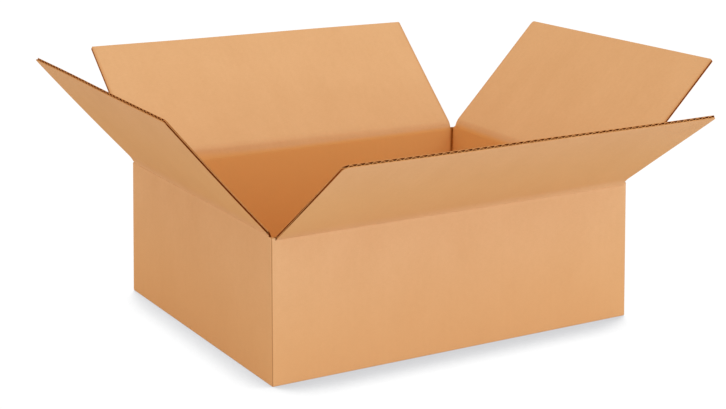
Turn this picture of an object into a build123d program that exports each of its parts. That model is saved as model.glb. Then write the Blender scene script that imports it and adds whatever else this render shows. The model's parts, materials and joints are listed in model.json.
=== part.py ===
from build123d import *
import os
from math import cos, floor, radians, sin

os.makedirs("parts", exist_ok=True)

# Outside of the folded carton, top flaps apart
carton_length = 465.0
carton_width = 364.0

# Corrugated board: two flat liners with a waved medium between them
board_thickness = 3.8
liner_thickness = 0.45
medium_thickness = 0.5
flute_pitch = 8.6

# Open channels between the medium and a liner: half widths as shares of the flute pitch
foot_half_share = 0.42
waist_half_share = 0.26
crown_half_share = 0.1
# Height of a channel's waist, as a share of its depth
waist_depth_share = 0.45

# Crease of the long flaps, above the surface that the carton stands on
long_crease_height = 160.0

# Closed top flaps lie on each other with this gap, the long pair below and the end pair above
stacking_gap = 0.2

# Gap between the free edges of two long flaps that meet in the middle
seam_gap = 0.5

# Folded flaps pass between the walls with this gap on each side
side_gap = 1.2

# Slots between the top flaps: reach along the end walls, depth below the long creases, cut clearance
end_wall_slot = 6.0
slot_depth = 1.0
cut_gap = 0.3

# Creases: each top flap turns on a small bead of pressed liner
bead_radius = 0.5
crease_gap = 0.2

# Edges of the folded carton
corner_radius = 2.0
foot_radius = 1.5

# Openings at the foot of each corner, where the bottom slots end
foot_slot_height = 1.6

# Glue lap inside the back left corner
lap_width = 35.0
lap_end_gap = 3.0
lap_end_slope = 8.0

# How far each top flap leans out from upright, in degrees
front_lean = 53.9
back_lean = 48.8
left_lean = 41.7
right_lean = 45.0

# Worked out from the sizes above
inner_length = carton_length - 2 * board_thickness
inner_width = carton_width - 2 * board_thickness
end_crease_height = long_crease_height + board_thickness + stacking_gap
flap_length = (carton_width - seam_gap) / 2
long_flap_width = inner_length - 2 * side_gap
end_flap_width = carton_width - 2 * end_wall_slot
long_crease_width = long_flap_width + 2 * cut_gap
end_crease_width = end_flap_width + 2 * cut_gap
slot_floor = long_crease_height - slot_depth
past_edge = 2 * board_thickness + stacking_gap


def fold_plane(side_turn, reach, height, lean):
    """Plane on a crease: X along the crease, Y into the board from its outer face, Z up the flap."""
    outward = Vector(0, -1, 0).rotate(Axis.Z, side_turn)
    along = Vector(1, 0, 0).rotate(Axis.Z, side_turn)
    up_the_flap = outward * sin(radians(lean)) + Vector(0, 0, cos(radians(lean)))
    return Plane(origin=outward * reach + Vector(0, 0, height), x_dir=along, z_dir=up_the_flap)


def across(fold):
    """Plane square to a crease at its middle: X into the board, Y up the flap, Z along the crease."""
    return Plane(origin=fold.origin, x_dir=fold.y_dir, z_dir=fold.x_dir)


def channel_row(width):
    """Cuts a row of channels out of a board section, each with its wide side on a liner."""
    depth = board_thickness - 2 * liner_thickness - medium_thickness
    foot = foot_half_share * flute_pitch
    waist = waist_half_share * flute_pitch
    crown = crown_half_share * flute_pitch
    outline = [
        (-foot, 0),
        (foot, 0),
        (waist, waist_depth_share * depth),
        (crown, depth),
        (-crown, depth),
        (-waist, waist_depth_share * depth),
    ]
    flutes = floor(width / flute_pitch) + 2
    with GridLocations(flute_pitch, board_thickness, flutes, 1):
        Polygon(*outline, align=None, mode=Mode.SUBTRACT)


def board_section(width):
    """Cut end of a fluted board, its outer face on X and its inner face a board's thickness above."""
    with Locations((0, board_thickness / 2)):
        Rectangle(width, board_thickness)
    with Locations((0, liner_thickness)):
        channel_row(width)
    with Locations(Location((flute_pitch / 2, board_thickness - liner_thickness), 180)):
        channel_row(width)


def fluted_flap(fold, width):
    """Flap of fluted board with open channels, bevelled at its crease and hung on the crease bead."""
    with BuildSketch(fold) as cut_end:
        board_section(width)
    extrude(cut_end.sketch, amount=flap_length)
    with BuildSketch(across(fold)) as root_bevel:
        with BuildLine():
            Polyline(
                (-past_edge, crease_gap - past_edge),
                (past_edge, crease_gap + past_edge),
                (past_edge, -past_edge),
                close=True,
            )
        make_face()
    extrude(root_bevel.sketch, amount=width, both=True, mode=Mode.SUBTRACT)
    with BuildSketch(across(fold)) as bead:
        Circle(bead_radius)
    extrude(bead.sketch, amount=width / 2, both=True)


def open_crease(fold, width):
    """Bevels a wall's top edge under its crease, clear of the flap's root and of the crease bead."""
    with BuildSketch(across(fold)) as opening:
        with BuildLine():
            Polyline(
                (-past_edge, past_edge - crease_gap),
                (past_edge, -past_edge - crease_gap),
                (past_edge, past_edge),
                close=True,
            )
        make_face()
        Circle(bead_radius + crease_gap)
    extrude(opening.sketch, amount=width / 2, both=True, mode=Mode.SUBTRACT)


# Folded carton: four walls, the bottom flaps in two layers, and the glue lap
with BuildPart() as carton:
    with BuildSketch():
        RectangleRounded(carton_length, carton_width, corner_radius)
    extrude(amount=end_crease_height)
    fillet(carton.edges().group_by(Axis.Z)[0], foot_radius)
    with BuildSketch():
        Rectangle(inner_length, inner_width)
    extrude(amount=end_crease_height, mode=Mode.SUBTRACT)

    # Outer bottom flaps fold in from the long walls and meet at the seam
    with BuildSketch():
        Rectangle(long_flap_width, inner_width)
        Rectangle(long_flap_width, seam_gap, mode=Mode.SUBTRACT)
    extrude(amount=board_thickness)

    # Inner bottom flaps fold in from the end walls and lie on the outer ones
    with BuildSketch(Plane.XY.offset(board_thickness)):
        Rectangle(inner_length, inner_width - 2 * side_gap)
        Rectangle(carton_length - 2 * flap_length, inner_width, mode=Mode.SUBTRACT)
    extrude(amount=board_thickness)

    # Slots at the corners, at the top and at the foot
    slot_on_long_wall = (carton_length - long_crease_width) / 2
    slot_on_end_wall = (carton_width - end_crease_width) / 2
    slot_centres = GridLocations(carton_length - slot_on_long_wall, carton_width - slot_on_end_wall, 2, 2)
    with BuildSketch(Plane.XY.offset(slot_floor)):
        with slot_centres:
            Rectangle(slot_on_long_wall, slot_on_end_wall)
    extrude(amount=past_edge, mode=Mode.SUBTRACT)
    with BuildSketch():
        with slot_centres:
            Rectangle(slot_on_long_wall, slot_on_end_wall)
    extrude(amount=foot_slot_height, mode=Mode.SUBTRACT)

    # Creases of the long flaps and of the end flaps
    for side_turn in (0, 180):
        open_crease(fold_plane(side_turn, carton_width / 2, long_crease_height, 0), long_crease_width)
    for side_turn in (90, 270):
        open_crease(fold_plane(side_turn, carton_length / 2, end_crease_height, 0), end_crease_width)

    # Glue lap: folded from the left wall and glued inside the back wall
    lap_root = -inner_length / 2
    lap_foot = 2 * board_thickness + lap_end_gap
    lap_head = long_crease_height - board_thickness - lap_end_gap
    with BuildSketch(Plane.XZ.offset(-inner_width / 2)):
        with BuildLine():
            Polyline(
                (lap_root, lap_foot),
                (lap_root + lap_width, lap_foot + lap_end_slope),
                (lap_root + lap_width, lap_head - lap_end_slope),
                (lap_root, lap_head),
                close=True,
            )
        make_face()
    extrude(amount=board_thickness)
carton.part.label = "carton"
export_step(carton.part, "parts/carton.step")

# Long top flap on the near side
with BuildPart() as front_flap:
    fluted_flap(fold_plane(0, carton_width / 2, long_crease_height, front_lean), long_flap_width)
front_flap.part.label = "front_flap"
export_step(front_flap.part, "parts/front_flap.step")

# Long top flap on the far side
with BuildPart() as back_flap:
    fluted_flap(fold_plane(180, carton_width / 2, long_crease_height, back_lean), long_flap_width)
back_flap.part.label = "back_flap"
export_step(back_flap.part, "parts/back_flap.step")

# End top flap on the left
with BuildPart() as left_flap:
    fluted_flap(fold_plane(270, carton_length / 2, end_crease_height, left_lean), end_flap_width)
left_flap.part.label = "left_flap"
export_step(left_flap.part, "parts/left_flap.step")

# End top flap on the right
with BuildPart() as right_flap:
    fluted_flap(fold_plane(90, carton_length / 2, end_crease_height, right_lean), end_flap_width)
right_flap.part.label = "right_flap"
export_step(right_flap.part, "parts/right_flap.step")
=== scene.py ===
"""Looks of the open carton: fluted board walls, bottom flaps, glue lap and four splayed top flaps."""
import json
import logging
import math
from collections.abc import Callable, Iterable, Sequence
from dataclasses import dataclass, field
from enum import Enum
from functools import partial, reduce

import bpy
from mathutils import Matrix, Vector, noise


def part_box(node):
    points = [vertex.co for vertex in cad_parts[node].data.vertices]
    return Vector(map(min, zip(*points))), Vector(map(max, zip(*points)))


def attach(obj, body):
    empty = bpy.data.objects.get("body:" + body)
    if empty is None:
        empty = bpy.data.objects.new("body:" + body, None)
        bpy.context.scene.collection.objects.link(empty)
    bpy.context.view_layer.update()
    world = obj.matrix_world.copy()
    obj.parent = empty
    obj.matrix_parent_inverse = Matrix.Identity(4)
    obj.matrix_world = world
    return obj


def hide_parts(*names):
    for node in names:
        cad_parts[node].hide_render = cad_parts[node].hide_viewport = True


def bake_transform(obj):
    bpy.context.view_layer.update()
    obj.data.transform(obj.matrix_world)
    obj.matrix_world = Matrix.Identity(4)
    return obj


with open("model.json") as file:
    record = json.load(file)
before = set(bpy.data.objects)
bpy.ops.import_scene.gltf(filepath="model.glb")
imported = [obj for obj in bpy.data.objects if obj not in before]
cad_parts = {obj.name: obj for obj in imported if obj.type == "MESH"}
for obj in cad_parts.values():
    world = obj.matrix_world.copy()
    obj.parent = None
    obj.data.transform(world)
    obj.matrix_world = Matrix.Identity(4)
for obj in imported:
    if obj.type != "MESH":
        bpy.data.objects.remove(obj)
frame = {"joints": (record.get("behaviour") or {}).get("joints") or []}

MM = 0.001
LOG = logging.getLogger("carton")
PLACES_TO_THE_METRE = 1e7

Pair = tuple[float, float]
Triple = tuple[float, float, float]
Surface = Callable[[float, float], Vector]
Placing = Callable[[float, float], Pair]
Skins = tuple["Skin", "Skin", "Skin"]
Section = Sequence[tuple[Vector, Vector, float]]
Piece = bpy.types.Object
Material = bpy.types.Material
Socket = bpy.types.NodeSocket
Tree = bpy.types.NodeTree
Entry = bpy.types.NodeOutputs


class Side(Enum):
    """The four sides of the carton, by the name that its pieces carry."""

    FRONT = "front"
    RIGHT = "right"
    BACK = "back"
    LEFT = "left"

    def is_long(self) -> bool:
        """Whether a long wall stands on it."""
        return self in (Side.FRONT, Side.BACK)

    def turn(self) -> int:
        """How many corners lie between the front and it."""
        return list(Side).index(self)


class Skin(Enum):
    """What a face of the board shows, as the place of its material on the mesh."""

    LINER = 0
    INSIDE = 1
    MEDIUM = 2
    CUT = 3


@dataclass(frozen=True)
class Board:
    """Single wall fluted board and what a press leaves of it at a crease, in metres."""

    thickness: float = 3.8 * MM
    liner: float = 0.5 * MM
    medium: float = 0.8 * MM
    pitch: float = 8.6 * MM
    press_reach: float = 6.0 * MM  # on each side of a crease
    press_share: float = 0.2  # of the thickness, gone on the crease itself
    cut_reach: float = 2.5 * MM  # beside a cut edge
    cut_share: float = 0.1  # of the thickness, pinched away by the knife
    cut_lip: float = 0.45 * MM  # of the outer liner, rolled into the channels
    cut_short: float = 0.12 * MM  # of the medium, before a cut edge
    wave_steps: int = 12  # stations to one flute
    glued: float = 0.3  # how much a crest is flattened where it is glued

    def pressed(self, distance: float) -> float:
        """Thickness of the board at a distance from a crease."""
        swell = math.cos(math.pi * min(abs(distance), self.press_reach) / (2 * self.press_reach)) ** 2
        return self.thickness * (1 - self.press_share * swell)

    def press_slope(self, distance: float, step: float = 0.01 * MM) -> float:
        """How much the board thickens for each metre away from a crease, at a distance from it."""
        return (self.pressed(distance + step) - self.pressed(distance - step)) / (2 * step)

    def bevel(self, rounds: int = 40) -> float:
        """Distance from a crease at which a slope of 45 degrees meets the inner surface.

        Args:
            rounds: How often it is halved toward the answer.

        Returns:
            The distance.
        """
        reach = self.thickness
        for _ in range(rounds):
            reach = 0.5 * (reach + self.pressed(reach))
        return reach

    def near_cut(self, distance: float) -> float:
        """How near a point is to a cut edge, from one at the edge to nothing past the pinch, squared."""
        return max(0.0, 1 - max(0.0, distance) / self.cut_reach) ** 2


@dataclass(frozen=True)
class Blank:
    """The flat sheet that the carton is folded from, which all patterns are laid on."""

    length: float  # of a long wall's panel
    width: float  # of an end wall's panel
    inner_shift: int = 6  # pairs of panels between the patterns outside and inside

    def start(self, side: Side) -> float:
        """Where a side's panel starts along the blank."""
        return (0.0, self.length, self.length + self.width, 2 * self.length + self.width)[side.turn()]

    def inside(self) -> float:
        """Shift along the blank that keeps the inner liner's pattern apart from the outer one's."""
        return self.inner_shift * (self.length + self.width)


@dataclass(frozen=True)
class Stock:
    """What every piece of the carton is made of."""

    board: Board
    blank: Blank
    finishes: Sequence[Material]  # in the order of Skin

    def dress(self, piece: Piece, replaced: str | None = None) -> Piece:
        """Hides the solid that a piece stands for, if any.

        Args:
            piece: The piece.
            replaced: Name of the solid.

        Returns:
            The piece.
        """
        if replaced:
            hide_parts(replaced)
        return piece


@dataclass(frozen=True)
class Panel:
    """A flat stretch of board that starts at a crease."""

    origin: Vector  # middle of the crease, on the outer surface
    along: Vector
    up: Vector  # away from the crease, along the board
    inward: Vector  # from the outer surface into the board
    blank_start: float  # the crease's middle along the blank

    def point(self, u: float, v: float, w: float) -> Vector:
        """A point at u along the crease from its middle, v from the crease and w below the surface."""
        return self.origin + self.along * u + self.up * v + self.inward * w

    def leant(self, degrees: float) -> "Panel":
        """The panel turned outward about its crease."""
        turn = Matrix.Rotation(math.radians(degrees), 3, self.along)
        return Panel(self.origin, self.along, turn @ self.up, turn @ self.inward, self.blank_start)


@dataclass(frozen=True)
class Rack:
    """How the walls stand a little out of square at the floor, true at the creases."""

    half_length: float
    half_width: float
    height: float  # where nothing is moved
    near_left: Pair = (-0.5 * MM, -0.5 * MM)
    near_right: Pair = (4.6 * MM, -3.9 * MM)
    far_left: Pair = (-1.5 * MM, 6.5 * MM)

    def settle(self, piece: Piece) -> None:
        """Moves the points of a piece of the body.

        Args:
            piece: The piece.
        """
        for corner in piece.data.vertices:
            x, y, z = corner.co
            share = max(0.0, 1 - z / self.height)
            a = min(1.0, max(0.0, 0.5 + x / (2 * self.half_length)))
            b = min(1.0, max(0.0, 0.5 + y / (2 * self.half_width)))
            for axis in (0, 1):
                shift = (self.near_left[axis] * (1 - a) * (1 - b) + self.near_right[axis] * a * (1 - b)
                         + self.far_left[axis] * (1 - a) * b)
                corner.co[axis] += share * shift


@dataclass
class Mesher:
    """Collects the faces of one piece, with its skins and its place on the blank."""

    points: list[Vector] = field(default_factory=list)
    index: dict[tuple[int, ...], int] = field(default_factory=dict)
    faces: list[tuple[int, ...]] = field(default_factory=list)
    skins: list[Skin] = field(default_factory=list)
    maps: list[list[Pair]] = field(default_factory=list)

    def vertex(self, point: Vector) -> int:
        """Number of the vertex at a point, which is made once.

        Args:
            point: Its place.

        Returns:
            Its number.
        """
        key = tuple(round(c * PLACES_TO_THE_METRE) for c in point)
        if key not in self.index:
            self.index[key] = len(self.points)
            self.points.append(point.copy())
        return self.index[key]

    def face(self, corners: Sequence[Vector], uvs: Sequence[Pair], skin: Skin) -> None:
        """Adds one face, unless it has shrunk to a line.

        Args:
            corners: Its corners, counterclockwise seen from outside.
            uvs: Their places on the blank.
            skin: What it shows.
        """
        kept: dict[int, Pair] = {}
        for corner, uv in zip(corners, uvs):
            kept.setdefault(self.vertex(corner), uv)
        if len(kept) > 2:
            self.faces.append(tuple(kept))
            self.maps.append(list(kept.values()))
            self.skins.append(skin)

    def slab(self, columns: Sequence[float], rows: Sequence[float], front: Surface, back: Surface, uv: Placing,
             skins: Skins, shift: float, side_from: float = -math.inf, foot: Skin | None = None,
             back_uv: Placing | None = None) -> None:
        """Adds a closed sheet between two surfaces.

        Args:
            columns: Stations along the crease.
            rows: Stations away from the crease.
            front: Surface that faces against the depth direction.
            back: Surface that faces along it.
            uv: Place on the blank.
            skins: What the front, the back and the rim show.
            shift: Distance along the blank between the front's pattern and the back's.
            side_from: Row below which the two sides join their neighbours and have no rim.
            foot: What the rim of the first row shows, if not the rim's own skin.
            back_uv: Place on the blank of the back surface, if not the front's.
        """
        def moved(column: float, row: float) -> Pair:
            """Place on the blank for the back surface."""
            u, v = (back_uv or uv)(column, row)
            return u + shift, v

        last_skin = skins[2]
        rims = []
        for a, b in zip(columns, columns[1:]):
            for c, d in zip(rows, rows[1:]):
                cell = [(a, c), (b, c), (b, d), (a, d)]
                self.face([front(*p) for p in cell], [uv(*p) for p in cell], skins[0])
                cell.reverse()
                self.face([back(*p) for p in cell], [moved(*p) for p in cell], skins[1])
        for c, d in zip(rows, rows[1:]):
            if c >= side_from - 1 / PLACES_TO_THE_METRE:
                rims.append(((columns[0], d), (columns[0], c), last_skin))
                rims.append(((columns[-1], c), (columns[-1], d), last_skin))
        for a, b in zip(columns, columns[1:]):
            rims.append(((a, rows[0]), (b, rows[0]), foot or last_skin))
            rims.append(((b, rows[-1]), (a, rows[-1]), last_skin))
        for a, b, skin in rims:
            self.face([front(*b), front(*a), back(*a), back(*b)], [uv(*b), uv(*a), uv(*a), uv(*b)], skin)

    def piece(self, name: str, finishes: Sequence[Material], sharp: float = 28.0) -> Piece:
        """Makes the collected faces into one object.

        Args:
            name: Name of the piece.
            finishes: Materials in the order of Skin.
            sharp: Angle between faces, in degrees, above which their edge stays sharp.

        Returns:
            The object, linked to the scene.
        """
        mesh = bpy.data.meshes.new(name)
        mesh.from_pydata([tuple(p) for p in self.points], [], self.faces)
        layer = mesh.uv_layers.new(name="Blank")
        layer.data.foreach_set("uv", [c for corners in self.maps for uv in corners for c in uv])
        for finish in finishes:
            mesh.materials.append(finish)
        mesh.polygons.foreach_set("material_index", [s.value for s in self.skins])
        mesh.polygons.foreach_set("use_smooth", [True] * len(self.faces))
        mesh.update()
        mesh.set_sharp_from_angle(angle=math.radians(sharp))
        made = bpy.data.objects.new(name, mesh)
        bpy.context.scene.collection.objects.link(made)
        return made


def spread(start: float, end: float, step: float) -> list[float]:
    """Even stations from start to end, no further apart than step."""
    count = max(1, math.ceil(abs(end - start) / step - 1e-6))
    return [start + (end - start) * i / count for i in range(count + 1)]


def sway(seed: float, u: float, v: float, reach: float) -> float:
    """Slow unevenness of hand folded board, from about -1 to 1, in swells of a given reach."""
    return noise.noise(Vector((u / reach, v / reach, seed)))


class Wiring:
    """Adds and joins the nodes of one shader tree."""

    def __init__(self, tree: Tree) -> None:
        """Keeps the tree and clears it."""
        self.tree = tree
        tree.nodes.clear()

    def add(self, kind: str, inputs: dict[str | int, object] | None = None, **settings: object) -> bpy.types.Node:
        """Adds one node.

        Args:
            kind: Blender's name for the node.
            inputs: Sockets to join, or values to set, by name or number.
            settings: Properties of the node.

        Returns:
            The node.
        """
        made = self.tree.nodes.new(kind)
        made.location = (len(self.tree.nodes) * 180, 0)
        for name, value in settings.items():
            setattr(made, name, value)
        for name, value in (inputs or {}).items():
            if isinstance(value, Socket):
                self.tree.links.new(value, made.inputs[name])
            else:
                made.inputs[name].default_value = value
        return made

    def math(self, operation: str, *values: object) -> Socket:
        """Adds a Math node on sockets or numbers."""
        return self.add("ShaderNodeMath", dict(enumerate(values)), operation=operation).outputs[0]

    def mix(self, share: object, first: object, second: object) -> Socket:
        """Adds a mix of two colours, with the share of the second one."""
        return self.add("ShaderNodeMix", {0: share, 6: first, 7: second}, data_type="RGBA").outputs[2]

    def ramp(self, value: Socket, low: float, high: float) -> Socket:
        """Adds a smooth step from nothing at low to one at high."""
        return self.add("ShaderNodeMapRange", {0: value, 1: low, 2: high},
                        interpolation_type="SMOOTHSTEP").outputs[0]

    def noise(self, place: Socket, stretch: Triple, detail: float = 2.0, roughness: float = 0.5) -> Socket:
        """Adds a noise that is stretched over the blank, with its middle at nothing.

        Args:
            place: Place on the blank, in metres.
            stretch: Patterns to the metre along each axis.
            detail: Finer layers of the pattern.
            roughness: Strength of the finer layers.

        Returns:
            Its value.
        """
        scaled = self.add("ShaderNodeVectorMath", {0: place, 1: stretch}, operation="MULTIPLY")
        made = self.add("ShaderNodeTexNoise", {"Vector": scaled.outputs[0], "Scale": 1.0, "Detail": detail,
                                               "Roughness": roughness})
        return self.math("SUBTRACT", made.outputs[0], 0.5)

    def for_camera(self, lit: bpy.types.Node, seen: bpy.types.Node) -> Socket:
        """Adds a shader that lights the scene in one way and looks another way to the camera.

        Args:
            lit: Shader that lights the scene.
            seen: Shader that the camera sees.

        Returns:
            The shader.
        """
        path = self.add("ShaderNodeLightPath")
        both = self.add("ShaderNodeMixShader", {0: path.outputs["Is Camera Ray"], 1: lit.outputs[0],
                                                2: seen.outputs[0]})
        return both.outputs[0]


def group(name: str, values: dict[str, float], outputs: Iterable[str],
          fill: Callable[[Wiring, Entry], dict[str, Socket]]) -> Tree:
    """Builds one shader node group, with the place on the blank as its first input.

    Args:
        name: Name of the group.
        values: Its other inputs, with their first values.
        outputs: Names of its outputs.
        fill: Builds the nodes from the group's inputs and gives the socket of each output.

    Returns:
        The group.
    """
    tree = bpy.data.node_groups.new(name, "ShaderNodeTree")
    tree.interface.new_socket(name="Place", in_out="INPUT", socket_type="NodeSocketVector")
    for label, value in values.items():
        socket = tree.interface.new_socket(name=label, in_out="INPUT", socket_type="NodeSocketFloat")
        socket.default_value = value
    for label in outputs:
        tree.interface.new_socket(name=label, in_out="OUTPUT", socket_type="NodeSocketFloat")
    wires = Wiring(tree)
    found = fill(wires, wires.add("NodeGroupInput").outputs)
    wires.add("NodeGroupOutput", found)
    return tree


@dataclass
class Effects:
    """The effects that the board's materials share, each built once as a node group."""

    blank: Blank
    crease_drop: float  # from the long flaps' crease to the floor
    flap_length: float
    shade_rise_start: Pair = (0.0, 0.12)  # where the painted shade on a top flap's lower part comes in, as shares of its length
    shade_rise_end: Pair = (0.3, 1.15)  # and where it fades
    made: dict[str, Tree] = field(default_factory=dict)

    def build(self) -> None:
        """Builds every group."""
        marks = ("Crease", "Corner", "Rim", "Score", "Below", "Above")
        widths = {"Width": 0.005, "Score Width": 0.001, "Sink Reach": 0.1}
        for key, name, values, outputs, fill in (
            ("fibre", "paper_fibre", {"Streak": 1.0}, ("Tone", "Height"), self.fibre),
            ("mottle", "soft_mottle", {"Patch": 0.05}, ("Tone", "Sheen"), self.mottle),
            ("flutes", "flute_ridges", {"Pitch": 0.0086}, ("Ridge",), self.flutes),
            ("folds", "fold_marks", widths, marks, self.folds),
        ):
            self.made[key] = group(name, values, outputs, fill)

    @staticmethod
    def fibre(wires: Wiring, entry: Entry) -> dict[str, Socket]:
        """Pressed wood fibres, longest along the machine direction, with a few dark flecks.

        Args:
            wires: The group's wiring.
            entry: The group's inputs.

        Returns:
            The socket of each output.
        """
        place = entry["Place"]
        streaks = wires.math("MULTIPLY", wires.noise(place, (160.0, 1500.0, 1.0), 3.0, 0.62), entry["Streak"])
        both = wires.math("ADD", streaks, wires.noise(place, (1100.0, 330.0, 1.0), 3.0, 0.6))
        dark = wires.ramp(wires.noise(place, (420.0, 1300.0, 1.0), 1.0, 0.4), 0.20, 0.30)
        return {"Tone": wires.math("SUBTRACT", both, wires.math("MULTIPLY", dark, 0.55)), "Height": both}

    @staticmethod
    def mottle(wires: Wiring, entry: Entry) -> dict[str, Socket]:
        """Cloudy unevenness of brown paper, from patches of a hand's width down to a fingertip's.

        Args:
            wires: The group's wiring.
            entry: The group's inputs.

        Returns:
            The socket of each output.
        """
        inverse = wires.math("DIVIDE", 1.0, entry["Patch"])
        scaled = wires.add("ShaderNodeVectorMath", {0: entry["Place"], "Scale": inverse}, operation="SCALE")
        cloud = wires.noise(scaled.outputs[0], (1.0, 0.6, 1.0), 4.0, 0.55)
        grain = wires.noise(scaled.outputs[0], (7.0, 5.0, 1.0), 2.0, 0.5)
        return {"Tone": wires.math("MULTIPLY_ADD", grain, 0.45, cloud), "Sheen": grain}

    @staticmethod
    def flutes(wires: Wiring, entry: Entry) -> dict[str, Socket]:
        """Faint ridges where the medium's crests are glued under the liner.

        Args:
            wires: The group's wiring.
            entry: The group's inputs.

        Returns:
            The socket of each output.
        """
        split = wires.add("ShaderNodeSeparateXYZ", {0: entry["Place"]})
        turns = wires.math("DIVIDE", split.outputs[0], entry["Pitch"])
        wave = wires.math("COSINE", wires.math("MULTIPLY", turns, math.tau))
        strength = wires.ramp(wires.noise(entry["Place"], (30.0, 9.0, 1.0)), -0.2, 0.2)
        return {"Ridge": wires.math("MULTIPLY", wave, strength)}

    def folds(self, wires: Wiring, entry: Entry) -> dict[str, Socket]:
        """Marks of the creases, of the upright corners and of the rims that hands and knives touch, which the
        finishes use for painted highlight and shade as well as for wear.

        Args:
            wires: The group's wiring.
            entry: The group's inputs.

        Returns:
            The socket of each output; Below, for painted shade, grows from the top crease down the walls, and
            Above, for painted shade, fades up the top flaps.
        """
        u, v, _ = wires.add("ShaderNodeSeparateXYZ", {0: entry["Place"]}).outputs
        period = self.blank.length + self.blank.width
        wrapped = wires.math("FLOORED_MODULO", u, period)
        corner = wires.math("MINIMUM", wires.math("MINIMUM", wrapped, wires.math("SUBTRACT", period, wrapped)),
                            wires.math("ABSOLUTE", wires.math("SUBTRACT", wrapped, self.blank.length)))
        crease = wires.math("MINIMUM", wires.math("ABSOLUTE", v),
                            wires.math("ABSOLUTE", wires.math("ADD", v, self.crease_drop)))
        rim = wires.math("ABSOLUTE", wires.math("SUBTRACT", v, self.flap_length))
        width, found = entry["Width"], {}
        # Score masks the upright corners' dark line and its painted shade
        for label, distance, reach in (("Crease", crease, width), ("Corner", corner, width),
                                       ("Rim", rim, width), ("Score", corner, entry["Score Width"])):
            share = wires.math("DIVIDE", distance, reach)
            found[label] = wires.math("SUBTRACT", 1.0, wires.ramp(share, 0.0, 1.0))
        depth = wires.math("DIVIDE", v, wires.math("MULTIPLY", entry["Sink Reach"], -1.0))
        # painted shade, growing down from the top crease
        found["Below"] = wires.ramp(depth, 0.0, 1.0)
        risen = wires.math("DIVIDE", v, self.flap_length)
        # painted shade on the lower part of the top flaps
        found["Above"] = wires.math("MULTIPLY", wires.ramp(risen, *self.shade_rise_start),
                                    wires.math("SUBTRACT", 1.0, wires.ramp(risen, *self.shade_rise_end)))
        return found


@dataclass(frozen=True)
class BoardFinish:
    """One finish of brown board."""

    name: str
    light: Triple  # colours are linear
    deep: Triple
    clouding: float = 0.5
    fibre: float = 0.45
    ridges: float = 0.015 * MM  # height of the flute ridges
    ridge_light_and_shade: float = 0.015  # how much the flute ridges are lightened and the hollows darkened, painted light and shade of the washboard
    tooth: float = 0.02 * MM  # height of the fibres
    crease_light_and_shade: float = 0.10  # how much the creases and upright corners are lightened as a painted highlight, the rims by half; a negative value darkens them as painted shade
    score_shade: Triple = (0.40, 0.17, 0.06)  # colour of the dark line at an upright corner, a pressed score line darkened further as painted shade
    score_shade_share: float = 0.85
    score_shade_width: float = 1.1 * MM  # half the width of that line
    sunk_shade: Triple = (0.74, 0.37, 0.145)  # colour toward the foot of the walls, painted shade that darkens them downward
    sunk_shade_share: float = 0.55
    sunk_shade_reach: float = 160 * MM  # below the top crease
    risen: Triple = (0.765, 0.415, 0.150)  # colour of the lower part of a top flap, a darker, warmer painted shade
    risen_shade_share: float = 0.0
    sheen: float = 0.16  # how much the roughness varies
    roughness: float = 0.82
    shine: float = 0.05  # specular level

    def material(self, effects: Effects) -> Material:
        """Builds the material.

        Args:
            effects: The shared node groups.

        Returns:
            The material.
        """
        made = bpy.data.materials.new(self.name)
        made.use_nodes = True
        wires = Wiring(made.node_tree)
        times = partial(wires.math, "MULTIPLY")
        sheet = wires.add("ShaderNodeUVMap", uv_map="Blank").outputs[0]
        placed = {name: wires.add("ShaderNodeGroup", node_tree=tree) for name, tree in effects.made.items()}
        for node in placed.values():
            wires.tree.links.new(sheet, node.inputs["Place"])
        placed["folds"].inputs["Score Width"].default_value = self.score_shade_width
        placed["folds"].inputs["Sink Reach"].default_value = self.sunk_shade_reach
        mottle, fibre = placed["mottle"].outputs, placed["fibre"].outputs
        ridge, folds = placed["flutes"].outputs["Ridge"], placed["folds"].outputs
        lift = reduce(partial(wires.math, "ADD"), [
            times(mottle["Tone"], self.clouding),
            times(fibre["Tone"], self.fibre),
            # painted light and shade along the flute ridges
            times(ridge, self.ridge_light_and_shade),
            # painted highlight at the creases and upright corners where the tone is positive, painted shade where it
            # is negative; half of it at the rims
            times(folds["Crease"], self.crease_light_and_shade),
            times(folds["Corner"], self.crease_light_and_shade * 1.5),
            times(folds["Rim"], self.crease_light_and_shade * 0.5),
        ])
        share = wires.add("ShaderNodeClamp", {0: wires.math("SUBTRACT", 0.5, lift)}).outputs[0]
        colour = wires.mix(share, (*self.light, 1.0), (*self.deep, 1.0))
        # painted shade: Below down the walls from the top crease, Above on the lower part of the top flaps, Score at
        # the upright corners
        for mask, strength, tint in (("Below", self.sunk_shade_share, self.sunk_shade), ("Above", self.risen_shade_share, self.risen),
                                     ("Score", self.score_shade_share, self.score_shade)):
            colour = wires.mix(times(folds[mask], strength), colour, (*tint, 1.0))
        matt = wires.math("MULTIPLY_ADD", mottle["Sheen"], self.sheen, self.roughness)
        raised = wires.math("ADD", times(ridge, self.ridges), times(fibre["Height"], self.tooth))
        bump = wires.add("ShaderNodeBump", {"Height": raised, "Strength": 1.0, "Distance": 1.0})
        shader = wires.add("ShaderNodeBsdfPrincipled", {"Base Color": colour, "Roughness": matt,
                                                        "Normal": bump.outputs[0],
                                                        "Specular IOR Level": self.shine})
        wires.add("ShaderNodeOutputMaterial", {0: shader.outputs[0]})
        return made


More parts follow.
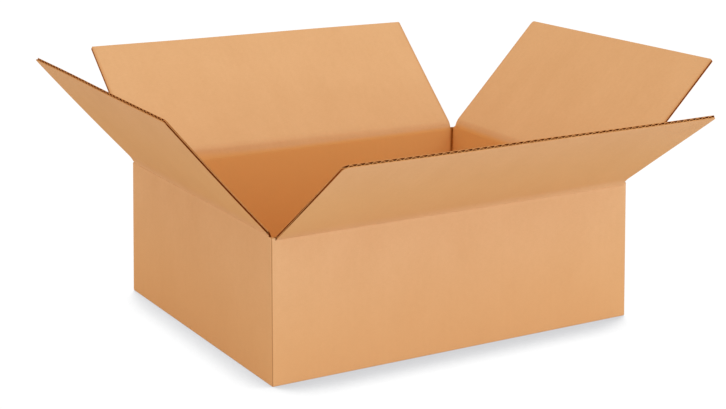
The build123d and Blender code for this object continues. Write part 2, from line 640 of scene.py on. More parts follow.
@dataclass(frozen=True)
class Finishes:
    """The four finishes of the carton's board, in the order of Skin."""

    # outside: the lower part of each top flap takes a warmer painted shade
    liner: BoardFinish = BoardFinish("kraft_liner", (0.824, 0.475, 0.250), (0.680, 0.352, 0.163), risen_shade_share=0.4)
    # inside: the corners' line widens into a band of painted shade, the creases darken as painted shade, and a narrow
    # band below the top crease takes painted shade
    inside: BoardFinish = BoardFinish("kraft_liner_inside", (0.824, 0.485, 0.252), (0.680, 0.362, 0.166),
                                      crease_light_and_shade=-0.12, score_shade=(0.46, 0.14, 0.01), score_shade_share=0.9,
                                      score_shade_width=10 * MM, sunk_shade=(0.79, 0.40, 0.13), sunk_shade_share=0.9,
                                      sunk_shade_reach=4 * MM)
    # the medium and the channel walls, darker and deeper than the liner: partly the medium's own paper, partly
    # painted shade in the flutes and the open ends of the folds
    medium: BoardFinish = BoardFinish("flute_medium_and_channel_shade", (0.54, 0.13, 0.018), (0.38, 0.08, 0.009), ridges=0.0,
                                      ridge_light_and_shade=0.0, score_shade_share=0.0, sunk_shade_share=0.0, roughness=0.92, shine=0.02)
    cut: BoardFinish = BoardFinish("cut_board", (0.66, 0.31, 0.115), (0.46, 0.175, 0.05), fibre=0.9, ridges=0.0,
                                   ridge_light_and_shade=0.0, tooth=0.05 * MM, score_shade_share=0.0, sunk_shade_share=0.0,
                                   roughness=0.95, shine=0.02)

    def materials(self, effects: Effects) -> list[Material]:
        """Builds the materials in the order of Skin."""
        return [finish.material(effects) for finish in (self.liner, self.inside, self.medium, self.cut)]


@dataclass(frozen=True)
class Hang:
    """How a flap departs from a flat rectangle, given at its two free corners."""

    bows: Pair = (0.0, 0.0)  # rise toward the inner side
    trims: Pair = (0.0, 0.0)  # length that the cut leaves off
    rounds: Pair = (1.0 * MM, 1.0 * MM)  # radius of the worn corners
    roots: Pair = (0.0, 0.0)  # how far the sides are cut in at the crease
    flares: Pair = (0.0, 0.0)  # how far the sides spread at the free edge
    rolls: Pair = (0.0, 0.0)  # bend inward beside the crease
    climbs: Pair = (0.0, 0.0)  # how far up the flap that bend's shade lies
    drift: float = 0.0  # of the flutes off the square, in pitches

    @classmethod
    def in_mm(cls, *pairs: Pair, drift: float) -> "Hang":
        """A hang from its pairs in millimetres, in the order of the fields."""
        return cls(*((first * MM, second * MM) for first, second in pairs), drift)


@dataclass(frozen=True)
class FlutedPanel:
    """A sheet of fluted board: two liners with the waved medium between them and open cut edges."""

    name: str
    panel: Panel
    stock: Stock
    half: float  # of the width, along the crease
    root: float  # start of the outer liner, away from the crease
    inner_root: float
    length: float
    hang: Hang
    seed: float  # which sheet of board, for its unevenness
    bow: float = 0.8 * MM  # how far the sheet is out of flat
    creased: bool = True  # whether a crease thins its root
    roll_reach: float = 13.0 * MM  # of the bend beside the crease
    bow_reach: float = 60 * MM  # from the crease, where the bow is all there
    swell: float = 190 * MM  # size of one swell of the bow
    fade: float = 40 * MM  # over which the climb of the marks fades
    coarse: float = 12.0 * MM  # widest spacing on the liners
    medium_coarse: float = 45 * MM  # widest spacing up the medium

    def across(self, ends: Pair, u: float) -> float:
        """A value at u along the crease, from its values at the start and at the end."""
        share = 0.5 + 0.5 * u / self.half
        return ends[0] * (1 - share) + ends[1] * share

    def tip(self, u: float) -> float:
        """Distance of the free edge from the crease.

        Args:
            u: Distance along the crease.

        Returns:
            The distance.
        """
        worn = 0.0
        for radius, inset in zip(self.hang.rounds, (u + self.half, self.half - u)):
            if 0.0 <= inset < radius:
                worn = max(worn, radius - math.sqrt(radius ** 2 - (radius - inset) ** 2))
        return self.length - self.across(self.hang.trims, u) - worn

    def whole(self, v: float) -> float:
        """Thickness of the sheet at v from the crease, away from the cut edges."""
        return self.stock.board.pressed(v) if self.creased else self.stock.board.thickness

    def thickness(self, u: float, v: float) -> float:
        """Thickness of the sheet at u along the crease and v from it."""
        pinch = self.stock.board.near_cut(min(self.tip(u) - v, u + self.half, self.half - u))
        return self.whole(v) * (1 - self.stock.board.cut_share * pinch)

    def lift(self, u: float, v: float) -> float:
        """How far the sheet is out of flat at a point.

        Args:
            u: Distance along the crease.
            v: Distance from the crease.

        Returns:
            Depth to add, growing from nothing at the crease.
        """
        rise = min(1.0, v / self.bow_reach) ** 2
        waved = self.bow * rise * sway(self.seed, u, v, self.swell)
        way = min(1.0, v / self.length)
        rolled = (1 - (1 - min(1.0, v / self.roll_reach)) ** 2) * (1 - way)
        return waved + self.across(self.hang.bows, u) * way ** 2 + self.across(self.hang.rolls, u) * rolled

    def mark(self, u: float, v: float) -> float:
        """Distance from the crease at which a point's marks lie on the blank.

        Args:
            u: Distance along the crease.
            v: Distance from the crease.

        Returns:
            The distance, less where the bend climbs up the sheet.
        """
        share = 0.5 + 0.5 * u / self.half
        climb = self.hang.climbs[0] * (1 - share) ** 3 + self.hang.climbs[1] * share ** 3
        return v - climb * max(0.0, 1 - max(0.0, v - climb) / self.fade)

    def at(self, u: float, v: float, share: float) -> Vector:
        """A point of the sheet.

        Args:
            u: Distance along the crease.
            v: Distance from the crease.
            share: Depth as a share of the thickness, measured from the outer surface.

        Returns:
            The point in the part's frame.
        """
        thick = self.thickness(u, v)
        way = v / self.length
        first, last = (r - (r + f) * way for r, f in zip(self.hang.roots, self.hang.flares))
        shifted = u + self.across((first, -last), u)
        return self.panel.point(shifted, v, 0.5 * (self.whole(v) - thick) + share * thick + self.lift(u, v))

    def rows(self, start: float, coarse: float, press_step: float = 1.1 * MM, cut_step: float = 0.9 * MM
             ) -> list[float]:
        """Shares of the way from the root to the tip, closest near the crease and the cut edge.

        Args:
            start: Distance of the root from the crease.
            coarse: Widest spacing of the stations.
            press_step: Widest spacing beside the crease.
            cut_step: Widest spacing at the cut edge.

        Returns:
            The shares.
        """
        press_end = max(start, self.roll_reach) if self.creased else start
        stations = spread(start, press_end, press_step) if press_end > start else [start]
        stations += spread(stations[-1], self.length - self.stock.board.cut_reach, coarse)[1:]
        stations += spread(stations[-1], self.length, cut_step)[1:]
        return [(s - start) / (self.length - start) for s in stations]

    def columns(self, cut_step: float = 0.8 * MM) -> list[float]:
        """Stations along the crease, closest at the cut sides.

        Args:
            cut_step: Widest spacing there.

        Returns:
            The stations.
        """
        left, right = (max(self.stock.board.cut_reach, r) for r in self.hang.rounds)
        stations = spread(-self.half, left - self.half, cut_step)
        stations += spread(stations[-1], self.half - right, self.coarse)[1:]
        return stations + spread(stations[-1], self.half, cut_step)[1:]

    def build(self) -> Piece:
        """Builds the sheet.

        Returns:
            The piece.
        """
        mesher, board, middle = Mesher(), self.stock.board, self.panel.blank_start
        liner = board.liner / board.thickness
        lip = board.cut_lip / board.thickness
        medium = board.medium / board.thickness
        swing = 0.5 - liner - medium / 2

        def outer(u: float, v: float, face: int) -> float:
            """Depth of the outer liner's two surfaces."""
            return face * (liner + lip * board.near_cut(self.tip(u) - v))

        def inner(u: float, v: float, face: int) -> float:
            """Depth of the inner liner's two surfaces."""
            return 1 - liner * (1 - face)

        def wave(u: float, v: float, face: int) -> float:
            """Depth of the medium's two surfaces, flattened where it is glued to the liners."""
            crest = math.cos(math.tau * ((middle + u) / board.pitch + self.hang.drift * v / self.length))
            return 0.5 + swing * crest * (1 + board.glued - board.glued * crest * crest) + medium * (face - 0.5)

        columns = self.columns()
        edge = self.half - 0.05 * MM
        fine = spread(-edge, edge, board.pitch / board.wave_steps)
        for stations, coarse, start, short, depth, front, back in (
            (columns, self.coarse, self.root, 0.0, outer, Skin.LINER, Skin.MEDIUM),
            (columns, self.coarse, self.inner_root, 0.0, inner, Skin.MEDIUM, Skin.INSIDE),
            (fine, self.medium_coarse, self.inner_root, board.cut_short, wave, Skin.MEDIUM, Skin.MEDIUM),
        ):
            def place(u: float, row: float) -> float:
                """Distance from the crease for a share of the way."""
                return start + (self.tip(u) - short - start) * row

            def surface(face: int) -> Surface:
                """Front (0) or back (1) surface of the sheet."""
                return lambda u, row: self.at(u, place(u, row), depth(u, place(u, row), face))

            mesher.slab(stations, self.rows(start, coarse), surface(0), surface(1),
                        lambda u, row: (middle + u, self.mark(u, place(u, row))),
                        (front, back, Skin.CUT), self.stock.blank.inside())
        return mesher.piece(self.name, self.stock.finishes)


@dataclass
class TopFlap:
    """A top flap and the crease that it turns on."""

    side: Side
    stock: Stock
    length: float
    hang: Hang
    seed: float
    lean: float = 0.0  # outward from upright at rest, in degrees
    half: float = 0.0  # of the width
    wall: Panel | None = None  # the wall below, from the crease on
    sheet: FlutedPanel | None = None  # the flap's own board
    root: float = 0.3 * MM  # start of the outer liner, away from the crease
    bead: float = 0.5 * MM  # radius of the pressed bead
    bead_steps: int = 6
    bead_mark: float = 0.1 * MM  # on the blank, from one face of the bead to the next
    lip: float = 0.4 * MM  # width of the liners' cut at the fold's ends
    hollow: float = 4.0 * MM  # depth of the open ends
    pull: float = 0.36  # how stiffly the inner liner bends, as a share of the fold
    fold_steps: int = 10

    def measure(self) -> None:
        """Reads the crease, the lean at rest and the width from the frame."""
        blank = self.stock.blank
        joint = next(j for j in frame["joints"] if j["child"] == self.node())
        along = Vector(joint["axis"])
        low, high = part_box(self.node())
        self.half = (high - low).dot(Vector([abs(c) for c in along])) / 2
        self.lean = -90.0 - joint["range_deg"][0]
        start = blank.start(self.side) + (blank.length if self.side.is_long() else blank.width) / 2
        up = Vector((0, 0, 1))
        self.wall = Panel(Vector(joint["pos_m"]), along, up, -along.cross(up), start)
        self.sheet = FlutedPanel(f"{self.side.value}_top_flap", self.wall.leant(self.lean), self.stock,
                                 self.half, self.root, self.stock.board.bevel(), self.length, self.hang, self.seed)

    def node(self) -> str:
        """Name of the flap's solid and of its body."""
        return f"{self.side.value}_flap"

    def ends(self) -> Pair:
        """Where the crease starts and ends, along it."""
        return self.hang.roots[0] - self.half, self.half - self.hang.roots[1]

    def build_flap(self) -> Piece:
        """Builds the flap itself.

        Returns:
            The piece, riding on the flap's body in place of its solid.
        """
        made = self.sheet.build()
        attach(made, self.node())
        return self.stock.dress(made, self.node())

    def fold_section(self, u: float) -> Section:
        """Section of the crease: its bead, its inner surface and the distance from the line.

        Args:
            u: Distance along the crease.

        Returns:
            The stations from the wall's bevel round to the flap's, as offsets from the crease.
        """
        bevel = self.stock.board.bevel()
        slope = self.stock.board.press_slope(bevel)
        flap = self.sheet.panel
        step = 0.1 * MM
        rise = self.sheet.lift(u, bevel)
        climb = slope + (self.sheet.lift(u, bevel + step) - rise) / step
        first = self.wall.inward * bevel - self.wall.up * bevel
        last = flap.inward * (bevel + rise) + flap.up * bevel
        leave = (self.wall.up - self.wall.inward * slope).normalized()
        arrive = (flap.up + flap.inward * climb).normalized()
        pull = self.pull * (last - first).length
        found = []
        for i in range(self.fold_steps + 1):
            s = i / self.fold_steps
            inner = (first * (1 - s) ** 3 + (first + leave * pull) * 3 * s * (1 - s) ** 2
                     + (last - arrive * pull) * 3 * s * s * (1 - s) + last * s ** 3)
            mark = (2 * s - 1) * bevel - (bevel - self.sheet.mark(u, bevel)) * s
            found.append((inner.normalized() * self.bead, inner, mark))
        return found

    def build_fold(self) -> Piece:
        """Builds the pressed board of the crease, which bends between the wall and the flap.

        Returns:
            The piece, in the part's frame and on no body.
        """
        wall, mesher, steps, last = self.wall, Mesher(), self.bead_steps, self.fold_steps
        stations = spread(*self.ends(), self.sheet.coarse)
        sections = [self.fold_section(u) for u in stations]
        section = sections[0]

        def at(u: float, offset: Vector) -> Vector:
            """A point of the fold."""
            return wall.origin + wall.along * u + offset

        reach = math.radians(270 - self.lean)
        turns = [Matrix.Rotation(-reach * i / steps, 3, wall.along) for i in range(1, steps)]
        shell = [section[0][0], *(turn @ section[0][0] for turn in turns), section[last][0]]
        for a, b, here, there in zip(stations, stations[1:], sections, sections[1:]):
            for i in range(last):
                ring = ((a, here[i + 1]), (b, there[i + 1]), (b, there[i]), (a, here[i]))
                mesher.face([at(u, inner) for u, (_, inner, _) in ring],
                            [(wall.blank_start + u + self.stock.blank.inside(), mark) for u, (_, _, mark) in ring],
                            Skin.INSIDE)
            for i in range(steps):
                ring = ((a, i), (b, i), (b, i + 1), (a, i + 1))
                mesher.face([at(u, shell[n]) for u, n in ring],
                            [(wall.blank_start + u, self.bead_mark * (n - steps / 2)) for u, n in ring], Skin.LINER)
            for n, way in ((0, 1), (last, -1)):
                corners = [at(a, here[n][0]), at(a, here[n][1]), at(b, there[n][1]), at(b, there[n][0])]
                mesher.face(corners[::way], [(wall.blank_start, 0.0)] * 4, Skin.CUT)
        for end, u, sign in zip((sections[0], sections[-1]), self.ends(), (1, -1)):
            self.cap(mesher, end, shell, u, sign)
        made = mesher.piece(f"{self.side.value}_fold", self.stock.finishes, 40.0)
        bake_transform(made)
        return self.stock.dress(made)

    def cap(self, mesher: Mesher, section: Section, shell: Sequence[Vector], u: float, sign: int) -> None:
        """Closes one end of the fold, hollow between the two liners.

        Args:
            mesher: Collects the faces.
            section: Section of the crease.
            shell: The bead's outline.
            u: Where the end is, along the crease.
            sign: Direction into the fold from this end.
        """
        last = len(section) - 1
        wall = self.wall

        def at(i: int, k: int) -> Vector:
            """A point of the end.

            Args:
                i: Station from the wall's bevel round to the flap's.
                k: Step from the bead (0) to the inner surface (3).

            Returns:
                The point.
            """
            near, far, _ = section[i]
            lip = (far - near).normalized() * self.lip
            deep = self.hollow if k in (1, 2) and 0 < i < last else 0.0
            offset = (near, near + lip, far - lip, far)[k]
            return wall.origin + wall.along * (u + sign * deep) + offset

        for i in range(last):
            for k in range(3):
                corners = [at(i, k), at(i + 1, k), at(i + 1, k + 1), at(i, k + 1)]
                skin = Skin.MEDIUM if 0 < i < last - 1 else Skin.CUT
                mesher.face(corners[::-sign], [(wall.blank_start + u, section[i][2])] * 4, skin)
        bead = [wall.origin + wall.along * u + p for p in shell] + [at(i, 0) for i in range(last - 1, 0, -1)]
        mesher.face(bead[::sign], [(wall.blank_start + u, 0.0)] * len(bead), Skin.LINER)


@dataclass(frozen=True)
class Walls:
    """The four walls, folded round from one sheet, with the slots between the top flaps."""

    stock: Stock
    flaps: dict[Side, TopFlap]
    slot_ends: dict[Side, float]  # at the corner after each side
    corner: float = 2.0 * MM  # radius outside
    corner_steps: int = 8
    groove: float = 1.6 * MM  # size of the groove inside an upright fold
    foot: float = 1.5 * MM  # radius
    slack: float = 0.3 * MM  # beside a flap, at the crease's ends
    rim_gap: float = 0.3 * MM  # between the outer surface and the crease
    bow: float = 0.9 * MM  # how far a wall swells out
    swells: float = 170 * MM  # size of one swell
    seeds: Pair = (3.1, 7.0)  # of the front wall's unevenness, and the step to the next wall's
    foot_turn: int = 18  # degrees from row to row round the foot
    foot_rows: Pair = (20 * MM, 6 * MM)  # height up to which rows lie close, and their spacing
    wall_rows: float = 11 * MM
    rim_rows: float = 0.8 * MM
    post_rows: float = 1.2 * MM
    end_columns: float = 2 * MM
    wall_columns: float = 12 * MM
    groove_section: tuple[Pair, ...] = ((-1.4, 0.0), (-1.0, 0.0), (-0.55, -0.08), (-0.2, -0.3), (0.45, -0.45),
                                        (0.3, 0.2), (0.08, 0.55), (0.0, 1.0), (0.0, 1.4))  # in sizes of the groove

    def shared_rows(self) -> list[float]:
        """Heights of the rows that all walls and corners share, up to where a press begins.

        Returns:
            The heights.
        """
        stations = [self.foot * (1 - math.cos(math.radians(a))) for a in range(0, 91, self.foot_turn)]
        stations += spread(stations[-1], *self.foot_rows)[1:]
        return stations + spread(stations[-1], self.press_start(), self.wall_rows)[1:]

    def press_start(self) -> float:
        """Height at which the lower creases' press begins."""
        return min(f.wall.origin.z for f in self.flaps.values()) - self.stock.board.press_reach

    def set_in(self, height: float) -> float:
        """How far the foot's rounding sets the outer surface in at a height above the floor."""
        below = max(0.0, self.foot - height)
        return self.foot - math.sqrt(max(0.0, self.foot ** 2 - below ** 2)) if below else 0.0

    def swell(self, side: Side, u: float, v: float, half: float, height: float) -> float:
        """How far a wall stands out of flat, nothing at its folds.

        Args:
            side: Which wall.
            u: Distance from its middle.
            v: Height above the floor.
            half: Half its width.
            height: Height of its crease.

        Returns:
            The distance outward.
        """
        free = max(0.0, 1 - (u / half) ** 2) * math.sin(math.pi * min(1.0, max(0.0, v / height)))
        seed = self.seeds[0] + self.seeds[1] * side.turn()
        return self.bow * free * (0.5 + 0.5 * sway(seed, u, v, self.swells))

    def build(self) -> Piece:
        """Builds the walls.

        Returns:
            The piece, riding on the carton in place of its solid.
        """
        mesher = Mesher()
        order = list(Side)
        for number, side in enumerate(order):
            self.wall(mesher, side, (self.slot_ends[order[number - 1]], self.slot_ends[side]))
        for number, side in enumerate(order):
            self.post(mesher, self.flaps[side], self.flaps[order[(number + 1) % 4]], self.slot_ends[side])
        made = mesher.piece("walls", self.stock.finishes)
        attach(made, "carton")
        return self.stock.dress(made, "carton")

    def wall(self, mesher: Mesher, side: Side, slots: Pair) -> None:
        """Adds one wall between its two slots.

        Args:
            mesher: Collects the faces.
            side: Which wall.
            slots: Heights of the slots' ends before and after the wall.
        """
        flap, board = self.flaps[side], self.stock.board
        panel, crease = flap.wall, flap.wall.origin.z
        half = flap.half + self.slack
        top = crease - self.rim_gap
        inner_top = crease - board.bevel()
        sink = self.press_start()
        rows = self.shared_rows() + spread(sink, top, self.rim_rows)[1:]
        first, last = flap.ends()

        def rim(u: float) -> float:
            """Height of the wall's upper edge, which falls to the slots past the crease."""
            past, room, slot = max((first - u, half + first, slots[0]), (u - last, half - last, slots[1]))
            return top - (top - slot) * past / room if past > 0 else top

        def placed(u: float, height: float, limit: float) -> float:
            """Height of a row below an upper edge."""
            end = min(limit, rim(u))
            return height if height <= sink else sink + (height - sink) * (end - sink) / (top - sink)

        def spot(limit: float, depth: Callable[[float], float], u: float, height: float) -> Vector:
            """A point of a surface at a depth that changes with the height, up to a limit."""
            height = placed(u, height, limit)
            return panel.point(u, height - crease, depth(height) - self.swell(side, u, height, half, crease))

        stations = spread(-half, first, self.end_columns) + spread(first, last, self.wall_columns)[1:]
        stations += spread(last, half, self.end_columns)[1:]
        mesher.slab(stations, rows, partial(spot, top, self.set_in),
                    partial(spot, inner_top, lambda height: board.pressed(height - crease)),
                    lambda u, height: (panel.blank_start + u, height - crease),
                    (Skin.LINER, Skin.INSIDE, Skin.CUT), self.stock.blank.inside(), sink, Skin.LINER,
                    lambda u, height: (panel.blank_start + u, placed(u, height, inner_top) - crease))

    def post(self, mesher: Mesher, before: TopFlap, after: TopFlap, slot_end: float) -> None:
        """Adds the upright fold between two walls, up to the end of its slot.

        Args:
            mesher: Collects the faces.
            before: Flap of the wall that ends at the fold.
            after: Flap of the wall that starts there.
            slot_end: Height of the slot's end.
        """
        thick, g, steps = self.stock.board.thickness, self.groove, self.corner_steps
        first, second = before.wall, after.wall
        reach_first = abs((second.origin - first.origin).dot(first.along))
        reach_second = abs((second.origin - first.origin).dot(second.along))
        lead = reach_first - before.half - self.slack
        trail = reach_second - after.half - self.slack
        crown = first.origin + first.along * reach_first
        outer_ring = [(-lead, 0.0)]
        for i in range(steps + 1):
            angle = math.pi / 2 * i / steps
            outer_ring.append((self.corner * (math.sin(angle) - 1), self.corner * (1 - math.cos(angle))))
        outer_ring.append((0.0, trail))
        inner_ring = [(-lead, thick), *((a * g - thick, b * g + thick) for a, b in self.groove_section),
                      (-thick, trail)]
        stretch = [0.0]
        for (a, b), (c, d) in zip(outer_ring, outer_ring[1:]):
            stretch.append(stretch[-1] + math.hypot(c - a, d - b))
        run, middle = stretch[-1], stretch[(steps + 2) // 2]
        base = first.blank_start + reach_first

        def spot(ring: Sequence[Pair], column: float, height: float, inset: float) -> Vector:
            """Point of the upright fold.

            Args:
                ring: Its section, given along the first wall and along the second one.
                column: Number of the point in the section.
                height: Height above the floor.
                inset: How far the foot's rounding sets it in.

            Returns:
                The point.
            """
            a, b = ring[int(column)]
            angle = min(1.0, max(0.0, (column - 1) / steps)) * math.pi / 2
            point = crown + first.along * (a - inset * math.sin(angle)) + second.along * (b + inset * math.cos(angle))
            point.z = height
            return point

        def uv(column: float, height: float) -> Pair:
            """Place on the blank, measured from the fold's middle."""
            off = stretch[int(column)] - middle
            return base + off * (lead / middle if off < 0 else trail / (run - middle)), height - first.origin.z

        rows = self.shared_rows() + spread(self.press_start(), slot_end, self.post_rows)[1:]
        mesher.slab([float(i) for i in range(len(outer_ring))], rows,
                    lambda c, height: spot(outer_ring, c, height, self.set_in(height)),
                    lambda c, height: spot(inner_ring, c, height, 0.0), uv,
                    (Skin.LINER, Skin.INSIDE, Skin.CUT), self.stock.blank.inside(), self.press_start(), Skin.LINER)


@dataclass(frozen=True)
class Bottom:
    """The glued bottom: two outer flaps that meet at a seam, and two inner flaps on top of them."""

    stock: Stock
    flaps: dict[Side, TopFlap]
    length: float  # of each flap
    side_gap: float = 1.2 * MM  # beside a flap
    seed: float = 40.0  # of the first flap

    def build(self) -> list[Piece]:
        """Builds the four flaps.

        Returns:
            The pieces, riding on the carton.
        """
        made, thick, blank = [], self.stock.board.thickness, self.stock.blank
        for side, top in self.flaps.items():
            origin = top.wall.origin + top.wall.inward * thick
            origin.z = 0.0 if side.is_long() else thick
            panel = Panel(origin, -top.wall.along, top.wall.inward, Vector((0, 0, 1)), top.wall.blank_start)
            half = (blank.length if side.is_long() else blank.width) / 2 - thick - self.side_gap
            piece = FlutedPanel(f"{side.value}_bottom_flap", panel, self.stock, half, 0.0, 0.0,
                                self.length - thick, Hang(), self.seed + side.turn(), 0.0, False).build()
            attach(piece, "carton")
            made.append(self.stock.dress(piece))
        return made


@dataclass(frozen=True)
class GlueLap:
    """The lap that closes the sheet into a ring, glued inside the back left corner."""

    stock: Stock
    wall: Panel  # the back wall
    width: float = 35.0 * MM
    end_gap: float = 3.0 * MM  # to the creases above and below
    end_slope: float = 8.0 * MM  # how much shorter the free side is at each end
    coarse: float = 3.0 * MM
    row_step: float = 0.1  # of the half height

    def build(self) -> Piece:
        """Builds the lap.

        Returns:
            The piece, riding on the carton.
        """
        mesher, board, wall = Mesher(), self.stock.board, self.wall
        thick, liner, medium = board.thickness, board.liner, board.medium
        low = 2 * thick + self.end_gap
        high = wall.origin.z - thick - self.end_gap
        half = (high - low) / 2
        corner = self.stock.blank.length / 2 - thick
        origin = Vector((wall.origin.x, wall.origin.y, (low + high) / 2)) + wall.inward * thick
        panel = Panel(origin, wall.along, Vector((0, 0, 1)), wall.inward, wall.blank_start)
        swing = thick / 2 - liner - medium / 2

        def reach(u: float) -> float:
            """Half height of the lap at a station."""
            return half - self.end_slope * (corner - u) / self.width

        def wave(u: float) -> float:
            """Depth of the medium's middle."""
            return thick / 2 + swing * math.cos(math.tau * u / board.pitch)

        stations = spread(corner - self.width, corner, self.coarse)
        fine = spread(corner - self.width + 0.1 * MM, corner, board.pitch / board.wave_steps)
        for columns, short, front, back, skins in (
            (stations, 0.0, lambda u: 0.0, lambda u: liner, (Skin.CUT, Skin.MEDIUM)),
            (stations, 0.0, lambda u: thick - liner, lambda u: thick, (Skin.MEDIUM, Skin.INSIDE)),
            (fine, board.cut_short, lambda u: wave(u) - medium / 2, lambda u: wave(u) + medium / 2,
             (Skin.MEDIUM, Skin.MEDIUM)),
        ):
            mesher.slab(columns, spread(-1.0, 1.0, self.row_step),
                        lambda u, s: panel.point(u, s * (reach(u) - short), front(u)),
                        lambda u, s: panel.point(u, s * (reach(u) - short), back(u)),
                        lambda u, s: (panel.blank_start + u + self.stock.blank.inside(), s * reach(u) - half),
                        (*skins, Skin.CUT), 0.0)
        made = mesher.piece("glue_lap", self.stock.finishes)
        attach(made, "carton")
        return self.stock.dress(made)


@dataclass(frozen=True)
class Camera:
    """The photograph's view."""

    place: Triple = (-0.958245, -1.587600, 0.634645)
    azimuth: float = -30.69  # degrees round the carton, 0 looking along +Y
    elevation: float = 15.405  # degrees
    roll: float = 0.433  # degrees
    lens: float = 79.974  # millimetres
    sensor: float = 36.0  # millimetres

    def build(self) -> None:
        """Makes the camera and the scene's view of it."""
        a, e, r = (math.radians(x) for x in (self.azimuth, self.elevation, self.roll))
        back = Vector((math.sin(a) * math.cos(e), -math.cos(a) * math.cos(e), math.sin(e)))
        right = Vector((0, 0, 1)).cross(back).normalized()
        up = back.cross(right)
        across = right * math.cos(r) + up * math.sin(r)
        upright = up * math.cos(r) - right * math.sin(r)
        data = bpy.data.cameras.new("camera")
        data.lens = self.lens
        data.sensor_width = self.sensor
        made = bpy.data.objects.new("camera", data)
        turn = Matrix((across, upright, back)).transposed().to_4x4()
        made.matrix_world = Matrix.Translation(Vector(self.place)) @ turn
        bpy.context.scene.collection.objects.link(made)
        bpy.context.scene.camera = made


@dataclass(frozen=True)
class AreaLamp:
    """One soft lamp."""

    name: str = "front"
    place: Triple = (0.4, -2.6, 0.8)
    aim: Triple = (0.0, 0.0, 0.15)
    size: Pair = (1.4, 1.0)
    power: float = 20.5  # watts
    tint: Triple = (0.566, 0.775, 1.0)

    def build(self) -> None:
        """Makes the lamp."""
        data = bpy.data.lights.new(self.name, "AREA")
        data.shape = "RECTANGLE"
        data.size, data.size_y = self.size
        data.energy = self.power
        data.color = self.tint
        made = bpy.data.objects.new(self.name, data)
        made.location = self.place
        made.rotation_euler = (Vector(self.aim) - Vector(self.place)).to_track_quat("-Z", "Y").to_euler()
        bpy.context.scene.collection.objects.link(made)


@dataclass(frozen=True)
class Studio:
    """Plain white floor with a narrow painted shadow, even surroundings and a soft lamp."""

    floor_half: float = 12.0
    floor_tone: float = 0.80  # light that the floor throws back
    white: float = 1.03  # brightness of the bare floor in the picture
    shade: Triple = (0.63, 0.63, 0.645)  # colour of the painted shadow right under the foot
    shade_reach: float = 0.085
    shade_lean: Triple = (0.249, 0.497, 0.831)  # where the floor's light comes from
    shade_ends: Pair = (0.40, 0.66)  # open sky where the shadow is darkest and where it ends
    sky: Triple = (0.98, 0.951, 0.862)
    lamp: AreaLamp = AreaLamp()

    def build(self) -> None:
        """Makes the floor, the surroundings and the lamp."""
        self.floor()
        self.surroundings()
        self.lamp.build()
        bpy.context.scene.view_settings.view_transform = "Standard"

    def floor(self) -> None:
        """Makes the floor: to the camera a white glow with a painted shadow along the carton's foot, from ambient
        occlusion; to the light a plain diffuse floor.
        """
        h = self.floor_half
        mesh = bpy.data.meshes.new("floor")
        mesh.from_pydata([(-h, -h, 0), (h, -h, 0), (h, h, 0), (-h, h, 0)], [], [(0, 1, 2, 3)])
        floor = bpy.data.objects.new("floor", mesh)
        bpy.context.scene.collection.objects.link(floor)
        paper = bpy.data.materials.new("studio_floor")
        paper.use_nodes = True
        wires = Wiring(paper.node_tree)
        lean = wires.add("ShaderNodeCombineXYZ", dict(enumerate(self.shade_lean))).outputs[0]
        near = wires.add("ShaderNodeAmbientOcclusion", {"Distance": self.shade_reach, "Normal": lean}, samples=12)
        open_share = wires.ramp(near.outputs["AO"], *self.shade_ends)
        tone = wires.mix(open_share, (*self.shade, 1.0), (self.white, self.white, self.white, 1.0))
        seen = wires.add("ShaderNodeEmission", {0: tone})
        lit = wires.add("ShaderNodeBsdfDiffuse", {0: (self.floor_tone, self.floor_tone, self.floor_tone, 1.0)})
        wires.add("ShaderNodeOutputMaterial", {0: wires.for_camera(lit, seen)})
        mesh.materials.append(paper)

    def surroundings(self) -> None:
        """Makes the white surroundings."""
        world = bpy.data.worlds.new("surroundings")
        world.use_nodes = True
        wires = Wiring(world.node_tree)
        light = wires.add("ShaderNodeBackground", {0: (*self.sky, 1.0)})
        seen = wires.add("ShaderNodeBackground", {0: (self.white, self.white, self.white, 1.0)})
        wires.add("ShaderNodeOutputWorld", {0: wires.for_camera(light, seen)})
        bpy.context.scene.world = world


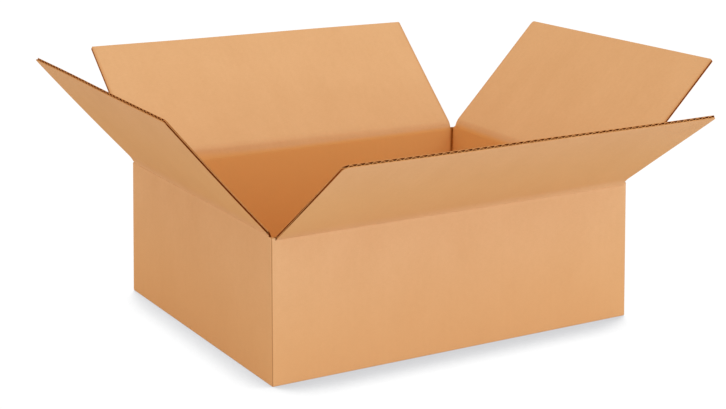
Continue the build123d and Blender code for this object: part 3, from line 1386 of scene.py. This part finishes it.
@dataclass
class Carton:
    """The whole carton, in the order in which it is folded."""

    stock: Stock
    flap_length: float
    rack: Rack
    seeds: Pair = (11.0, 5.0)  # of the front flap's unevenness, and the step to the next flap's
    flaps: dict[Side, TopFlap] = field(default_factory=dict)
    hangs: dict[Side, Hang] = field(default_factory=lambda: {
        Side.FRONT: Hang.in_mm((2.4, 1.2), (3.0, 0.0), (7.0, 4.0), (0.4, 0.0), (2.0, 1.2), (0.0, 3.4),
                               (0.0, 0.0), drift=0.5),
        Side.RIGHT: Hang.in_mm((1.7, 1.0), (-0.8, 3.2), (2.0, 4.0), (0.0, 4.5), (0.0, 0.0), (1.2, 0.4),
                               (3.5, 3.5), drift=0.2),
        Side.BACK: Hang.in_mm((0.9, 2.2), (1.0, -0.5), (2.0, 1.5), (1.2, 0.0), (0.0, 0.6), (0.3, 5.5),
                              (0.5, 9.0), drift=-0.3),
        Side.LEFT: Hang.in_mm((3.0, 2.3), (1.5, 8.5), (2.0, 2.5), (0.0, 0.5), (0.0, 0.5), (2.2, 0.0),
                              (2.0, 2.0), drift=0.1),
    })
    # Heights of the slots' ends, each at the corner after a side
    slot_ends: dict[Side, float] = field(default_factory=lambda: {
        Side.FRONT: 162.8 * MM, Side.RIGHT: 157.8 * MM, Side.BACK: 163.8 * MM, Side.LEFT: 162.6 * MM,
    })

    def build(self) -> None:
        """Builds every piece and reports it."""
        for side in Side:
            seed = self.seeds[0] + self.seeds[1] * side.turn()
            flap = TopFlap(side, self.stock, self.flap_length, self.hangs[side], seed)
            flap.measure()
            self.flaps[side] = flap
        for flap in self.flaps.values():
            report((flap.build_flap(), flap.build_fold()))
        body = [Walls(self.stock, self.flaps, self.slot_ends).build()]
        body += Bottom(self.stock, self.flaps, self.flap_length).build()
        body.append(GlueLap(self.stock, self.flaps[Side.BACK].wall).build())
        for piece in body:
            self.rack.settle(piece)
        report(body)


def report(made: Iterable[Piece]) -> None:
    """Logs the size of each piece.

    Args:
        made: The pieces.
    """
    for piece in made:
        size = piece.dimensions
        LOG.info("%s: %d faces, %.0f x %.0f x %.0f mm", piece.name, len(piece.data.polygons),
                 size.x / MM, size.y / MM, size.z / MM)


def main() -> None:
    """Builds the carton around the frame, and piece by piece."""
    logging.basicConfig(level=logging.INFO, format="%(name)s %(message)s")
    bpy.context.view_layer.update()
    crease = {j["child"]: Vector(j["pos_m"]) for j in frame["joints"]}
    length = crease["right_flap"].x - crease["left_flap"].x
    width = crease["back_flap"].y - crease["front_flap"].y
    height = crease["front_flap"].z
    blank = Blank(length, width)
    seam = 0.5 * MM
    flap_length = (width - seam) / 2
    effects = Effects(blank, height, flap_length)
    effects.build()
    stock = Stock(Board(), blank, Finishes().materials(effects))
    Carton(stock, flap_length, Rack(length / 2, width / 2, height)).build()
    Studio().build()
    Camera().build()


if __name__ == "__main__":
    main()
